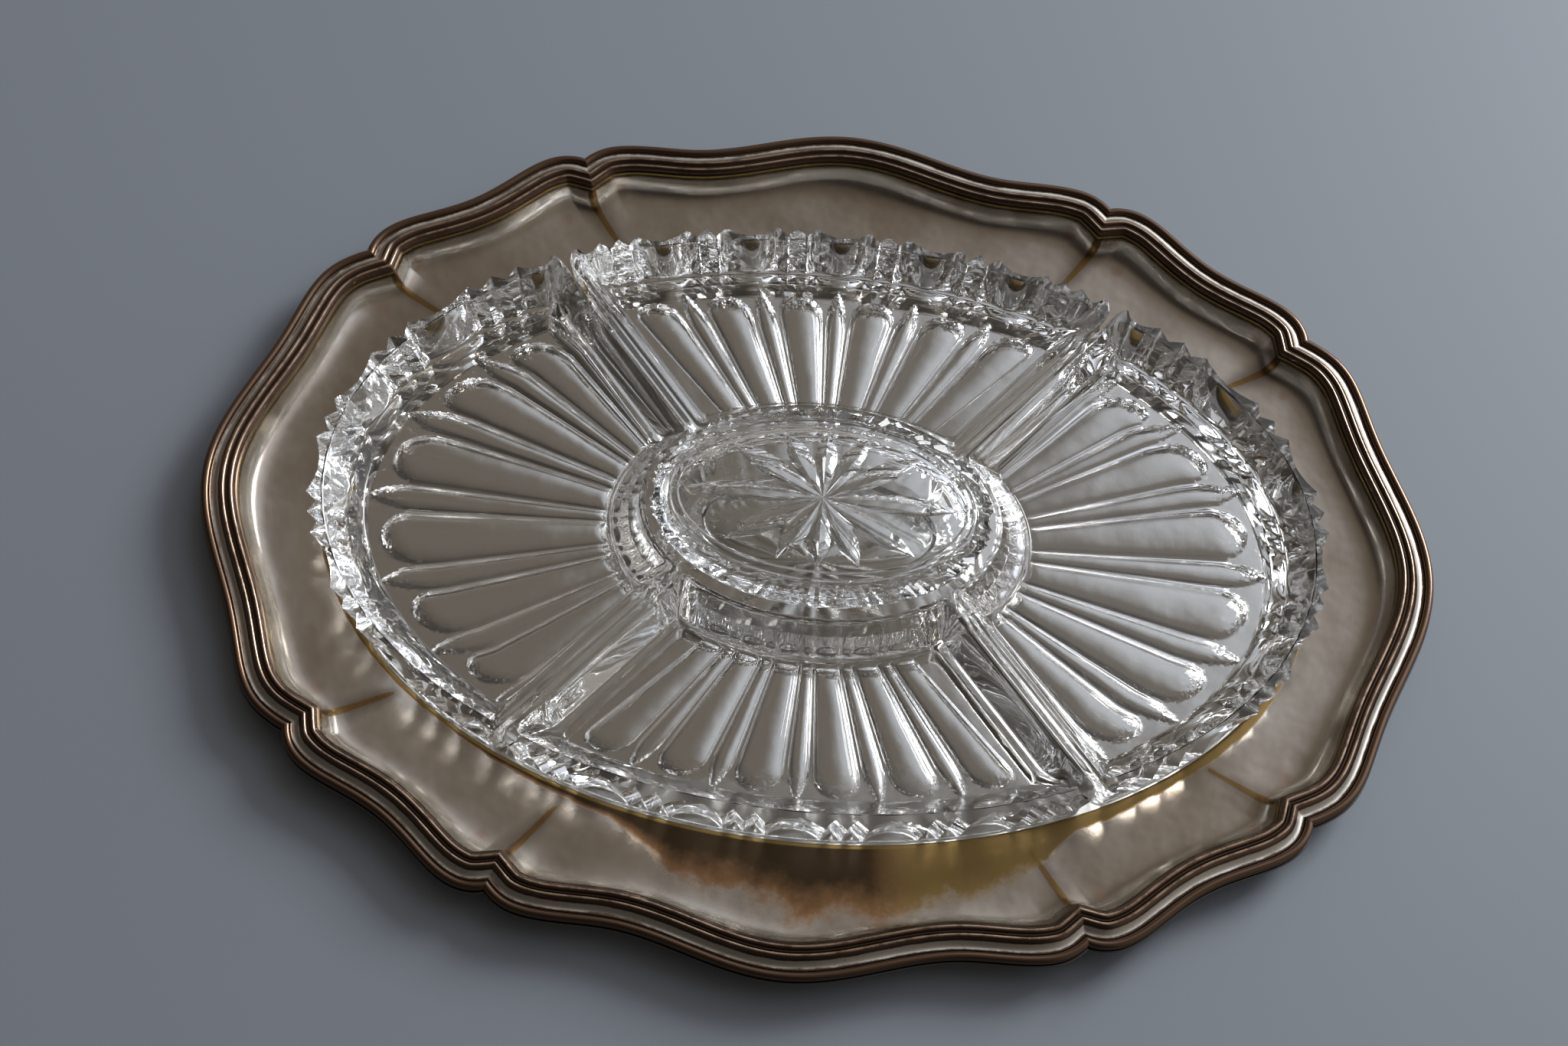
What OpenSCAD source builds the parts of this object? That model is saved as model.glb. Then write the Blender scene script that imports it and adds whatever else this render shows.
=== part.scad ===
/* [Tray] */
// Length of the tray over its two end lobes
tray_len = 420; // [412:1:440]
// Width of the tray over its two long-side lobes
tray_wid = 322; // [316:1:340]
// Height of the reeds above the table
rim_h = 15; // [13:0.5:20]
// Thickness of the tray sheet
sheet = 1.2; // [1:0.1:2]
// Depth of the oval well below the ledge
well_depth = 1.6; // [1:0.1:2.4]
// Width of the reeded border
border_w = 13; // [12:0.5:15]
// Radius of the bead along the outer edge
bead_r = 1.5; // [1.2:0.1:1.9]
// Height of each reed
reed_h = 0.8; // [0.4:0.1:1.1]
// How far the peak of an end lobe stands out from its two notches
end_rise = 42; // [38:1:46]
// How far the peak of a long-side lobe stands out from its two notches
side_rise = 20.5; // [18:0.5:23]
// Height of the two shoulders of a corner lobe
corner_rise = 6.3; // [5.5:0.1:7]
// Dip between the two shoulders of a corner lobe
corner_dip = 3.5; // [2:0.1:4.5]

/* [Dishes] */
// Length of the four dishes together, over the tips of their rims
glass_len = 345; // [335:1:350]
// Width of the four dishes together, over the tips of their rims
glass_wid = 226; // [220:1:232]
// Height of a dish to its flat rim
dish_h = 20.5; // [19:0.5:23]
// Thickness of a dish's floor
floor_t = 7; // [5:0.5:8]
// Width of the rim along the outer wall
rim_t = 5.5; // [4.5:0.5:6.5]
// Thickness of the side and inner walls at the top
wall_t = 2; // [1.6:0.2:3]
// Gap between two neighbouring dishes at the top
dish_gap = 1.6; // [1.2:0.2:2.4]
// How far the side walls draw in from the top to the base
side_draft = 1; // [0.5:0.1:1.5]
// How far the outer wall leans out at the two ends
end_flare = 6.4; // [5:0.2:7]
// How far the outer wall leans out at the two long sides
side_flare = 3.4; // [2.6:0.2:4]
// Run of the inside slope at the two ends
end_slope = 11; // [9:0.5:13]
// Run of the inside slope at the two long sides
side_slope = 7.5; // [6:0.5:9]
// Run of the inside slope along the side walls
divider_slope = 6.5; // [5:0.5:7.5]
// Depth of the cuts between the teeth of a rim
tooth_cut = 3.2; // [2:0.1:3.8]
// Height of the smooth foot below the flutes of a dish's outer wall
foot_h = 4; // [3:0.5:6]
// Depth of the flutes under a dish's floor
flute_depth = 2; // [1:0.1:2.6]

/* [Centre dish and lid] */
// Length of the lid over its teeth
lid_len = 116; // [112:1:118]
// Width of the lid over its teeth
lid_wid = 76; // [72:1:78]
// Height of the centre dish
centre_h = 23.4; // [21:0.2:26]
// Thickness of the centre dish's wall at its rim
centre_wall = 3.4; // [2.8:0.2:4]
// Thickness of the centre dish's floor
centre_floor = 3.5; // [3:0.5:5]
// Depth of the flutes around the centre dish
centre_flute = 0.7; // [0.4:0.1:1]
// How far the base of the centre dish is drawn in from its rim
centre_taper = 15; // [12:1:17]
// Height of the lid above the rim of the centre dish
lid_h = 6.4; // [5.6:0.2:8]
// Height of the lid's teeth above the rim of the centre dish
lid_edge_h = 2.2; // [1.8:0.1:2.6]
// Depth to which the lid's locating ring enters the centre dish
register_h = 2.5; // [2:0.1:3]
// Depth of the cuts between the lid's teeth
lid_cut = 1.4; // [1:0.1:1.6]
// Depth of the star cut into the lid
star_depth = 1.2; // [0.6:0.1:1.5]
// Greatest half width of a petal of the star
petal_w = 2.9; // [1.4:0.1:3]

/* [Clearances] */
// Play of the dishes inside the edge of the well
well_play = 2; // [1:0.5:3]
// Gap between the lid's teeth and the inner walls of the dishes
lid_gap = 1.2; // [0.8:0.1:2]
// Gap between the lid's teeth and the rim of the centre dish below them
bowl_inset = 1.4; // [1:0.1:2]
// Play of the lid's locating ring in the centre dish
register_play = 0.6; // [0.4:0.1:0.9]

/* [Hidden] */

silver = "#b4aca0";
bronze = "#8a7666";
glass = "#d4dde0";

// Tray outline: eight notches joined by lobes
notch_end_share = 0.287;
notch_side_share = 0.2286;
notch_end = [tray_len / 2 - end_rise, tray_wid * notch_end_share];
notch_side = [tray_len * notch_side_share, tray_wid / 2 - side_rise];
// Shares of a lobe's rise that its shoulders, its long arc and its peak take up
end_shares = [0.285, 0.43, 0.285];
side_shares = [0.395, 0, 0.605];
// Lobe shape: shoulder height, shoulder sharpness, arc height, peak height, peak half width
end_lobe = [end_rise * end_shares[0], 14, end_rise * end_shares[1], end_rise * end_shares[2], 0.7];
side_lobe = [side_rise * side_shares[0], 14, side_rise * side_shares[1], side_rise * side_shares[2], 0.65];
corner_lobe = [corner_rise, 8, 0, -corner_dip, 0.75];
long_steps = 16;
short_steps = 10;

// Heights of the pan's flange under the inner and the outer edge of the border
seat_in_drop = 2.8;
seat_out_drop = 6;
seat_in = rim_h - seat_in_drop;
seat_out = rim_h - seat_out_drop;
// The flange stops short of the border's outer edge
flange_inset = 1;
ledge_z = sheet + well_depth;
// Shares of the way from the border to the well at which the pan is shaped
pan_steps = [0, 0.03, 0.08, 0.16, 0.3, 0.6, 1];
under_steps = [1, 0.5, 0.2, 0.06, 0];
// Share of the pan's fall that its steep wall takes, and the share of the way that it dies out over
wall_share = 0.82;
wall_reach = 0.055;
// The underside lags the upper side, which keeps the steep wall as thick as the sheet
under_lag = 0.05;
// The creases at the notches fade out at this share of the way, into an oval inside the border
crease_fade = 0.6;
crease_room = 5;
mid_oval = [tray_len / 2 - border_w - crease_room, tray_wid / 2 - border_w - crease_room];
well_edge = 1;

// Ovals of the dishes, each as two half axes
fillet_run = 2;
tip_oval = [glass_len / 2, glass_wid / 2];
base_oval = tip_oval - [end_flare, side_flare];
rim_oval = tip_oval - [rim_t, rim_t];
slope_oval = rim_oval - [end_slope, side_slope];
floor_oval = slope_oval - [fillet_run, fillet_run];
well_oval = base_oval + [well_play, well_play];
lid_oval = [lid_len / 2, lid_wid / 2];
// The inner walls lean over the centre dish: run of their two faces, at the ends and at the sides
core_lean = [8, 4];
core_slope = [9.5, 6.5];
core_oval = lid_oval + [lid_gap, lid_gap];
core_base_oval = core_oval + core_lean;
core_in_oval = core_oval + [wall_t, wall_t];
core_slope_oval = core_in_oval + core_slope;
core_floor_oval = core_slope_oval + [fillet_run, fillet_run];

// Divider lines between the dishes: where they meet the long axis, and their slant
divide_x = 23;
divide_slant = 50.5;
// Each rim repeats three teeth and a wide cut; these are the places within one period that are shaped
periods = 6;
tip_near = 0.285;
cut_near = 0.3925;
period_steps = [0, 0.1, 0.2, tip_near, cut_near, 0.5, 1 - cut_near, 1 - tip_near, 0.8, 0.9];
spread = concat([for (p = [0:periods - 1]) for (s = period_steps) (p + s) / periods], [1]);
last = len(spread) - 1;
fillet_h = 1.2;
// Half angles over which the flutes fan out
side_fan = 31.5;
end_fan = 49.5;
// Half widths of the wide and the narrow flutes as shares of a period, and the depth of the narrow ones
wide_flute = 0.3;
narrow_flute = 0.16;
narrow_depth = 0.7;
// Rows across the flutes: share of the way out, and share of the depth
flute_rows = [[1, 0], [0.95, 1], [0.5, 0.8], [0.06, 0.5], [0, 0]];

lid_periods = 18;
lid_steps = [0, tip_near, cut_near, 0.5, 1 - cut_near, 1 - tip_near];
lid_angles = [for (p = [0:lid_periods - 1]) for (s = lid_steps) 360 * (p + s) / lid_periods];
// The centre dish has this many flutes, which are deepest this far below its rim
centre_flutes = 36;
centre_plain = 5;
bowl_angles = [for (k = [0:2 * centre_flutes - 1]) 180 * k / centre_flutes];
centre_z = sheet + centre_h;
bowl_oval = lid_oval - [bowl_inset, bowl_inset];
bowl_in_oval = bowl_oval - [centre_wall, centre_wall];
register_oval = bowl_in_oval - [register_play, register_play];
petals = 12;

// Triangles between neighbouring rings of n points each, turned over for rings that are walked inward
function bands(n, m, ring_shaped = false, inward = false) =
    [for (k = [0:(ring_shaped ? m : m - 1) - 1]) for (j = [0:n - 1]) each
        let (a = k * n, b = ((k + 1) % m) * n, j2 = (j + 1) % n)
        inward ? [[a + j, b + j2, b + j], [a + j, a + j2, b + j2]]
               : [[a + j, b + j, b + j2], [a + j, b + j2, a + j2]]];
function bottom_cap(n) = [[for (j = [0:n - 1]) j]];
function top_cap(n, m) = [[for (j = [n - 1:-1:0]) (m - 1) * n + j]];
function flat(rings) = [for (r = rings) each r];

// One closed solid from a list of rings, with its two ends covered
module loft(rings) {
    n = len(rings[0]);
    m = len(rings);
    polyhedron(flat(rings), concat(bands(n, m), bottom_cap(n), top_cap(n, m)), convexity = 8);
}

// One closed solid from rings that run around a hole
module loop_loft(rings) {
    polyhedron(flat(rings), bands(len(rings[0]), len(rings), true, true), convexity = 8);
}

function lift(points, z) = [for (p = points) [p[0], p[1], z]];
function oval_ring(oval, angles, z) = [for (t = angles) [oval[0] * cos(t), oval[1] * sin(t), z]];
// Point of an oval in the direction of p
function toward(oval, p) = let (u = p / norm(p)) u / norm([u[0] / oval[0], u[1] / oval[1]]);
function flip(p, sx, sy) = [p[0] * sx, p[1] * sy];

// One lobe of the outline from notch p to notch q, without its last point
function lobe(p, q, shape, steps) = [for (j = [0:steps - 1])
    let (t = (1 - cos(180 * j / steps)) / 2, s = abs(2 * t - 1), c = q - p, out = [c[1], -c[0]] / norm(c))
    p + c * t + out * (shape[0] * (1 - pow(s, shape[1])) + shape[2] * (1 - s * s)
        + shape[3] * (1 + cos(180 * min(s / shape[4], 1))) / 2)];

outline = concat(
    lobe(flip(notch_end, 1, -1), notch_end, end_lobe, long_steps),
    lobe(notch_end, notch_side, corner_lobe, short_steps),
    lobe(notch_side, flip(notch_side, -1, 1), side_lobe, long_steps),
    lobe(flip(notch_side, -1, 1), flip(notch_end, -1, 1), corner_lobe, short_steps),
    lobe(flip(notch_end, -1, 1), -notch_end, end_lobe, long_steps),
    lobe(-notch_end, -notch_side, corner_lobe, short_steps),
    lobe(-notch_side, flip(notch_side, 1, -1), side_lobe, long_steps),
    lobe(flip(notch_side, 1, -1), flip(notch_end, 1, -1), corner_lobe, short_steps));

function outward(p, q) = let (c = q - p) [c[1], -c[0]] / norm(c);
// The outline moved inward by d, mitred at the notches
function inset(d) = let (n = len(outline)) [for (i = [0:n - 1])
    let (a = outward(outline[(i + n - 1) % n], outline[i]), b = outward(outline[i], outline[(i + 1) % n]))
    outline[i] - d * (a + b) / (1 + a * b)];

border_line = inset(border_w);

// Ring of the pan at share f of the way from the border to the well
function pan_line(f, grow = 0) = [for (p = border_line)
    let (k = min(f / crease_fade, 1), e = toward(well_oval + [grow, grow], p),
        o = p * (1 - k) + toward(mid_oval, p) * k)
    e + (o - e) * (1 - f)];
function pan_height(f) = ledge_z + (seat_in - ledge_z)
    * (wall_share * exp(-f / wall_reach) + (1 - wall_share) * pow(1 - f, 2));

module tray_pan() {
    under = [for (f = under_steps) lift(pan_line(f, sheet), pan_height(min(f + under_lag, 1)) - sheet)];
    // The underside of the flange turns down just outside the border's inner edge
    bend = sheet;
    flange = [
        lift(inset(border_w - bend), seat_in - 1.3 * sheet),
        lift(inset(flange_inset), seat_out - sheet),
        lift(inset(flange_inset), seat_out)];
    upper = [for (f = pan_steps) lift(pan_line(f), f == 0 ? seat_in : pan_height(f))];
    floor_line = [for (p = border_line) toward(well_oval - [well_edge, well_edge], p)];
    foot_oval = well_oval + [sheet - well_edge, sheet - well_edge];
    foot_line = [for (p = border_line) toward(foot_oval, p)];
    color(silver) loft(concat([lift(foot_line, 0)], under, flange, upper, [lift(floor_line, sheet)]));
}

module rim_border() {
    bead_lift = 0.9;
    bead_z = seat_out + bead_lift + bead_r;
    cove_out = 2 * bead_r;
    cove_drop = 2.4;
    cove_turn = 130;
    reed_w = 2.1;
    step_w = 1;
    reed_base = rim_h - reed_h;
    cove_in = border_w - step_w - 2 * reed_w;
    // Section of the border as inset and height, from the seat over the reeds to the bead
    seat = [[flange_inset, seat_out], [border_w, seat_in]];
    step = [[border_w - step_w / 5, seat_in + step_w], [border_w - step_w, reed_base - step_w / 2]];
    reeds = [for (r = [0, 1]) for (a = [0:45:135])
        [border_w - step_w - reed_w * (r + (1 - cos(a)) / 2), reed_base + reed_h * sin(a)]];
    cove = [for (s = [0:0.25:1])
        [cove_in + (cove_out - cove_in) * s, reed_base - cove_drop * sin(cove_turn * s)]];
    bead = [for (a = [40:35:215]) [bead_r + bead_r * cos(a), bead_z + bead_r * sin(a)]];
    section = concat(seat, step, reeds, cove, bead);
    color(bronze) loop_loft([for (p = section) lift(inset(p[0]), p[1])]);
}

// Angle on an oval at which it meets the divider line moved sideways by g
function meet(oval, g) =
    let (d = [cos(divide_slant), sin(divide_slant)], p = [divide_x - g * d[1], g * d[0]],
        ds = [d[0] / oval[0], d[1] / oval[1]], ps = [p[0] / oval[0], p[1] / oval[1]],
        a = ds * ds, b = 2 * ds * ps, c = ps * ps - 1,
        k = (-b + sqrt(b * b - 4 * a * c)) / (2 * a), q = ps + k * ds)
    atan2(q[1], q[0]);

// Half angle of a dish on an oval, with its side walls g inside the divider lines
function half_angle(oval, g, at_end) = at_end ? meet(oval, -g) : 90 - meet(oval, g);
function mid_angle(at_end) = at_end ? 0 : 90;

function hump(x) = 4 * x * (1 - x);
// Depth of the cut at place s within a period, 0 at the tips and 1 at the bottom of each cut
function cut_at(s) = let (w = 0.5 - tip_near)
    s < tip_near ? hump((s + tip_near) / (2 * tip_near)) :
    s > 1 - tip_near ? hump((s - 1 + tip_near) / (2 * tip_near)) :
    s < 0.5 ? hump((s - tip_near) / w) : hump((s - 0.5) / w);
// Place within its period of a place u along the whole rim
function in_period(u, count) = u * count - floor(u * count);
// Depth of the cut at a place u along a dish's rim; its two corners stand out like teeth
function rim_cut(u) = u == 0 || u == 1 ? 0 : cut_at(in_period(u, periods));

// Outline of a dish: outer arc, cut in between the teeth, then inner arc back
function dish_ring(outer, inner, g, z, cut, at_end) =
    let (ho = half_angle(outer, g, at_end), hi = half_angle(inner, g, at_end), m = mid_angle(at_end))
    concat(
        [for (u = spread) let (t = m + (2 * u - 1) * ho, c = cut * rim_cut(u))
            [(outer[0] - c) * cos(t), (outer[1] - c) * sin(t), z]],
        [for (k = [last:-1:0]) let (t = m + (2 * spread[k] - 1) * hi)
            [inner[0] * cos(t), inner[1] * sin(t), z]]);

// Depth of the flutes at place u: a wide one in each period and a narrow one between two periods
function flute_at(u) = let (d = abs(in_period(u, periods) - 0.5))
    u == 0 || u == 1 ? 0 :
    d < wide_flute ? sqrt(1 - pow(d / wide_flute, 2)) :
    max(0, narrow_depth * (1 - (0.5 - d) / narrow_flute));

module dish(at_end) {
    g = dish_gap / 2;
    base_g = g + side_draft;
    in_g = g + wall_t;
    slope_g = in_g + divider_slope;
    slope_z = floor_t + fillet_h;
    foot = foot_h / dish_h;
    foot_oval = base_oval + foot * (tip_oval - base_oval);
    core_foot_oval = core_base_oval + foot * (core_oval - core_base_oval);
    rings = [
        dish_ring(base_oval, core_base_oval, base_g, 0, 0, at_end),
        dish_ring(foot_oval, core_foot_oval, g + (1 - foot) * side_draft, foot_h, tooth_cut, at_end),
        dish_ring(tip_oval, core_oval, g, dish_h, tooth_cut, at_end),
        dish_ring(rim_oval, core_in_oval, in_g, dish_h, 0, at_end),
        dish_ring(slope_oval, core_slope_oval, slope_g, slope_z, 0, at_end),
        dish_ring(floor_oval, core_floor_oval, slope_g + fillet_h, floor_t, 0, at_end)];
    n = len(rings[0]);
    m = len(rings);
    // The flutes of the underside, row by row
    fan = at_end ? end_fan : side_fan;
    under = [for (r = flute_rows)
        let (oval = core_slope_oval + r[0] * (slope_oval - core_slope_oval),
            h = min(fan, half_angle(oval, slope_g, at_end)))
        for (u = spread) let (t = mid_angle(at_end) + (2 * u - 1) * h)
            [oval[0] * cos(t), oval[1] * sin(t), flute_depth * r[1] * flute_at(u)]];
    rows = len(flute_rows);
    width = last + 1;
    function under_point(row, c) = row == 0 ? c : row > rows ? n - 1 - c : m * n + (row - 1) * width + c;
    bottom = [for (r = [0:rows]) for (c = [0:last - 1]) each
        let (p = under_point(r, c), q = under_point(r, c + 1),
            s = under_point(r + 1, c), t = under_point(r + 1, c + 1))
        [[p, q, t], [p, t, s]]];
    flanks = [
        [for (r = [0:rows + 1]) under_point(r, 0)],
        [for (r = [rows + 1:-1:0]) under_point(r, last)]];
    polyhedron(concat(flat(rings), under), concat(bands(n, m), bottom, flanks, top_cap(n, m)), convexity = 8);
}

module front_dish() {
    color(glass) mirror([0, 1, 0]) translate([0, 0, sheet]) dish(false);
}

module back_dish() {
    color(glass) translate([0, 0, sheet]) dish(false);
}

module left_dish() {
    color(glass) mirror([1, 0, 0]) translate([0, 0, sheet]) dish(true);
}

module right_dish() {
    color(glass) translate([0, 0, sheet]) dish(true);
}

// Ring around the centre dish, cut in at every second point
function fluted_ring(oval, z) = [for (k = [0:len(bowl_angles) - 1])
    let (t = bowl_angles[k], c = k % 2 == 0 ? centre_flute : 0)
    [(oval[0] - c) * cos(t), (oval[1] - c) * sin(t), z]];

module centre_dish() {
    socket_room = 0.5;
    foot_oval = bowl_oval - [centre_taper, centre_taper];
    bottom_oval = foot_oval + [1, 1];
    fluted_oval = bowl_oval - [centre_taper, centre_taper] * centre_plain / centre_h;
    color(glass) loft([
        oval_ring(foot_oval, bowl_angles, sheet),
        fluted_ring(fluted_oval, centre_z - centre_plain),
        oval_ring(bowl_oval, bowl_angles, centre_z),
        oval_ring(bowl_in_oval, bowl_angles, centre_z),
        oval_ring(bowl_in_oval, bowl_angles, centre_z - register_h - socket_room),
        oval_ring(bottom_oval, bowl_angles, sheet + centre_floor)]);
}

// Edge of the lid with its teeth, cut and lowered between the tips
function lid_edge(oval, z, cut) = [for (t = lid_angles)
    let (c = cut * cut_at(in_period(t / 360, lid_periods)))
    [(oval[0] - c) * cos(t), (oval[1] - c) * sin(t), z - c]];

module lid() {
    top_z = centre_z + lid_h;
    glass_t = 4;
    register_w = [3, 3];
    hollow_oval = register_oval - register_w - [5, 5];
    // Two rings around the raised panel, with a groove between them
    shoulder_w = [6, 7.4];
    ring_w = [1.3, 1.3];
    ring_drop = 1.6;
    groove = 0.7;
    ring_oval = lid_oval - shoulder_w;
    panel_oval = ring_oval - 3 * ring_w;
    rings = [
        oval_ring(hollow_oval, lid_angles, top_z - glass_t),
        oval_ring(register_oval - register_w, lid_angles, centre_z - register_h),
        oval_ring(register_oval, lid_angles, centre_z - register_h),
        oval_ring(register_oval, lid_angles, centre_z),
        oval_ring(bowl_oval, lid_angles, centre_z),
        lid_edge(lid_oval, centre_z + lid_edge_h, lid_cut),
        oval_ring(ring_oval, lid_angles, top_z - ring_drop),
        oval_ring(ring_oval - ring_w, lid_angles, top_z - ring_drop - groove),
        oval_ring(ring_oval - 2 * ring_w, lid_angles, top_z - ring_drop / 2),
        oval_ring(panel_oval, lid_angles, top_z)];
    n = len(lid_angles);
    m = len(rings);
    // The star: each petal is a kite-shaped mitre cut, widest and deepest past the middle of its length
    star_margin = [2, 1.5];
    widest = 0.62;
    tips = [for (k = [0:petals - 1])
        toward(panel_oval - star_margin, [cos(360 * k / petals), sin(360 * k / petals)])];
    star = concat([[0, 0, top_z]], [for (p = tips) each
        let (side = [-p[1], p[0]] / norm(p) * petal_w, q = p * widest)
        [[p[0], p[1], top_z], [q[0] + side[0], q[1] + side[1], top_z],
            [q[0] - side[0], q[1] - side[1], top_z], [q[0], q[1], top_z - star_depth]]]);
    hub = m * n;
    function petal(k) = hub + 1 + 4 * (k % petals);
    cuts = [for (k = [0:petals - 1]) each let (t = petal(k))
        [[t + 3, t + 1, t], [t + 3, hub, t + 1], [t + 3, t + 2, hub], [t + 3, t, t + 2]]];
    // The flat of the panel between two petals, out to the points of the panel's edge
    share = n / petals;
    half = floor(share / 2);
    function edge(k, j) = (m - 1) * n + (k * share + j) % n;
    panels = [for (k = [0:petals - 1]) each let (t = petal(k), u = petal(k + 1))
        concat(
            [[t + 1, hub, u + 2], [t, t + 1, u + 2], [t, u + 2, u], [t, u, edge(k, half)]],
            [for (j = [0:share - 1]) [j < half ? t : u, edge(k, j + 1), edge(k, j)]])];
    faces = concat(bands(n, m), bottom_cap(n), cuts, panels);
    color(glass) polyhedron(concat(flat(rings), star), faces, convexity = 8);
}

tray_pan();
rim_border();
front_dish();
back_dish();
left_dish();
right_dish();
centre_dish();
lid();
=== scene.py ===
import math

import bmesh
import bpy
import numpy as np
from mathutils import Matrix, Vector


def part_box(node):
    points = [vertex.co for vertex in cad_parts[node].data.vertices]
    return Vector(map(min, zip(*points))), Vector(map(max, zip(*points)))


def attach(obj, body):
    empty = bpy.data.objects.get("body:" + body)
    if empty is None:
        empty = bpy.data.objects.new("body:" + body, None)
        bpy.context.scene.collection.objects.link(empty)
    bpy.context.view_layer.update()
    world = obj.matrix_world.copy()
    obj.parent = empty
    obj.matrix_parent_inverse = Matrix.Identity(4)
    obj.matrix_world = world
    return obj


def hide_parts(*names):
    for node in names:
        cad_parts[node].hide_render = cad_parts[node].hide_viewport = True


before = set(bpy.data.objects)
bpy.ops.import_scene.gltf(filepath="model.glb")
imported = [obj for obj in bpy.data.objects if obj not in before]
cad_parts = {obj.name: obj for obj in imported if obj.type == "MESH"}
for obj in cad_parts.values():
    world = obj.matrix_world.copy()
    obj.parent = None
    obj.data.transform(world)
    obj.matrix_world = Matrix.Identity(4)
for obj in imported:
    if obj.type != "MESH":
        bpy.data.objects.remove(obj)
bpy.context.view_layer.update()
mm = 0.001  # every shape below is worked out in millimetres
print("frame loaded:", len(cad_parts), "nodes")

photoView = {
    "frame": (2048, 1366),
    "focal": 3550.0,  # pixels
    "azimuth": -0.95, "elevation": 62.47, "roll": 6.26,  # degrees
    "target": (-12.0, -2.0, 15.0),
    "distance": 917.7,
    "sensor": 36.0,
}


def addCamera(view):
    az, el, roll = (math.radians(view[k]) for k in ("azimuth", "elevation", "roll"))
    back = Vector((math.sin(az) * math.cos(el), -math.cos(az) * math.cos(el), math.sin(el)))
    right = Vector((0, 0, 1)).cross(back).normalized()
    up = back.cross(right)
    tiltedRight = right * math.cos(roll) + up * math.sin(roll)
    tiltedUp = up * math.cos(roll) - right * math.sin(roll)
    data = bpy.data.cameras.new("photoCamera")
    data.sensor_width = view["sensor"]
    data.lens = view["sensor"] * view["focal"] / view["frame"][0]
    data.clip_start = 0.01
    camera = bpy.data.objects.new("photoCamera", data)
    place = (Vector(view["target"]) + back * view["distance"]) * mm
    turn = Matrix((tiltedRight, tiltedUp, back)).transposed().to_4x4()
    camera.matrix_world = Matrix.Translation(place) @ turn
    bpy.context.scene.collection.objects.link(camera)
    bpy.context.scene.camera = camera


addCamera(photoView)
print("camera placed")


# Mesh helpers

def gridFaces(rows, cols, start=0, closed=True):
    row, col = np.meshgrid(np.arange(rows - 1), np.arange(cols if closed else cols - 1), indexing="ij")
    a = start + row * cols + col
    b = start + row * cols + (col + 1) % cols
    return np.stack([a, b, b + cols, a + cols], -1).reshape(-1, 4).tolist()


def makePiece(name, points, faces, layers, finish, part):
    mesh = bpy.data.meshes.new(name)
    mesh.from_pydata((np.asarray(points, float) * mm).tolist(), [], faces)
    work = bmesh.new()
    work.from_mesh(mesh)
    bmesh.ops.recalc_face_normals(work, faces=work.faces)  # closed solids, so outward
    work.to_mesh(mesh)
    work.free()
    mesh.shade_smooth()
    mesh.set_sharp_from_angle(angle=math.radians(part["sharp"]))
    for label, values in layers.items():
        layer = mesh.attributes.new(label, "FLOAT", "POINT")
        layer.data.foreach_set("value", np.asarray(values, np.float32))
    mesh.materials.append(finish)
    piece = bpy.data.objects.new(name, mesh)
    bpy.context.scene.collection.objects.link(piece)
    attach(piece, part["body"])
    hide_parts(part["node"])
    print(name, "made:", len(points), "points,", len(faces), "faces")
    return piece


def boxMm(node):
    low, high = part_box(node)
    return np.array(low) / mm, np.array(high) / mm


def toward(oval, points):  # points of an oval in the direction of the given ones
    unit = points / np.linalg.norm(points, axis=-1, keepdims=True)
    return unit / np.linalg.norm(unit / np.asarray(oval), axis=-1, keepdims=True)


def lift(line, z):
    return np.column_stack([line, np.broadcast_to(z, len(line))])


def smoothStep(low, high, x):
    s = np.clip((x - low) / (high - low), 0, 1)
    return s * s * (3 - 2 * s)


# Node helpers

def newFinish(name):
    finish = bpy.data.materials.new(name)
    finish.use_nodes = True
    return finish, finish.node_tree, finish.node_tree.nodes["Principled BSDF"]


def feed(tree, socket, value):  # a link or a constant
    if isinstance(value, bpy.types.NodeSocket):
        tree.links.new(value, socket)
    else:
        socket.default_value = value


def put(tree, kind, sockets=None, **settings):
    node = tree.nodes.new(kind)
    for label, value in settings.items():
        setattr(node, label, value)
    for label, value in (sockets or {}).items():
        feed(tree, node.inputs[label], value)
    return node


def layerOf(tree, label):
    return put(tree, "ShaderNodeAttribute", attribute_name=label).outputs["Fac"]


def sums(tree, operation, a, b=0.0, c=0.0):
    return put(tree, "ShaderNodeMath", {0: a, 1: b, 2: c}, operation=operation).outputs[0]


def grain(tree, place, scale, detail=4.0, rough=0.55, warp=0.0):
    wanted = {"Vector": place, "Scale": scale, "Detail": detail, "Roughness": rough, "Distortion": warp}
    return put(tree, "ShaderNodeTexNoise", wanted).outputs["Fac"]


def fade(tree, value, low, high, toLow=0.0, toHigh=1.0):
    wanted = {"Value": value, "From Min": low, "From Max": high, "To Min": toLow, "To Max": toHigh}
    return put(tree, "ShaderNodeMapRange", wanted, interpolation_type="SMOOTHSTEP").outputs["Result"]


def blendColour(tree, share, a, b):
    node = put(tree, "ShaderNodeMix", data_type="RGBA")
    for slot, value in ((0, share), (6, a), (7, b)):  # factor, A and B of a colour mix
        feed(tree, node.inputs[slot], value)
    return node.outputs[2]


def colour(r, g, b):
    return (r, g, b, 1.0)


# Outline of the tray: eight notches joined by lobes

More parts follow.
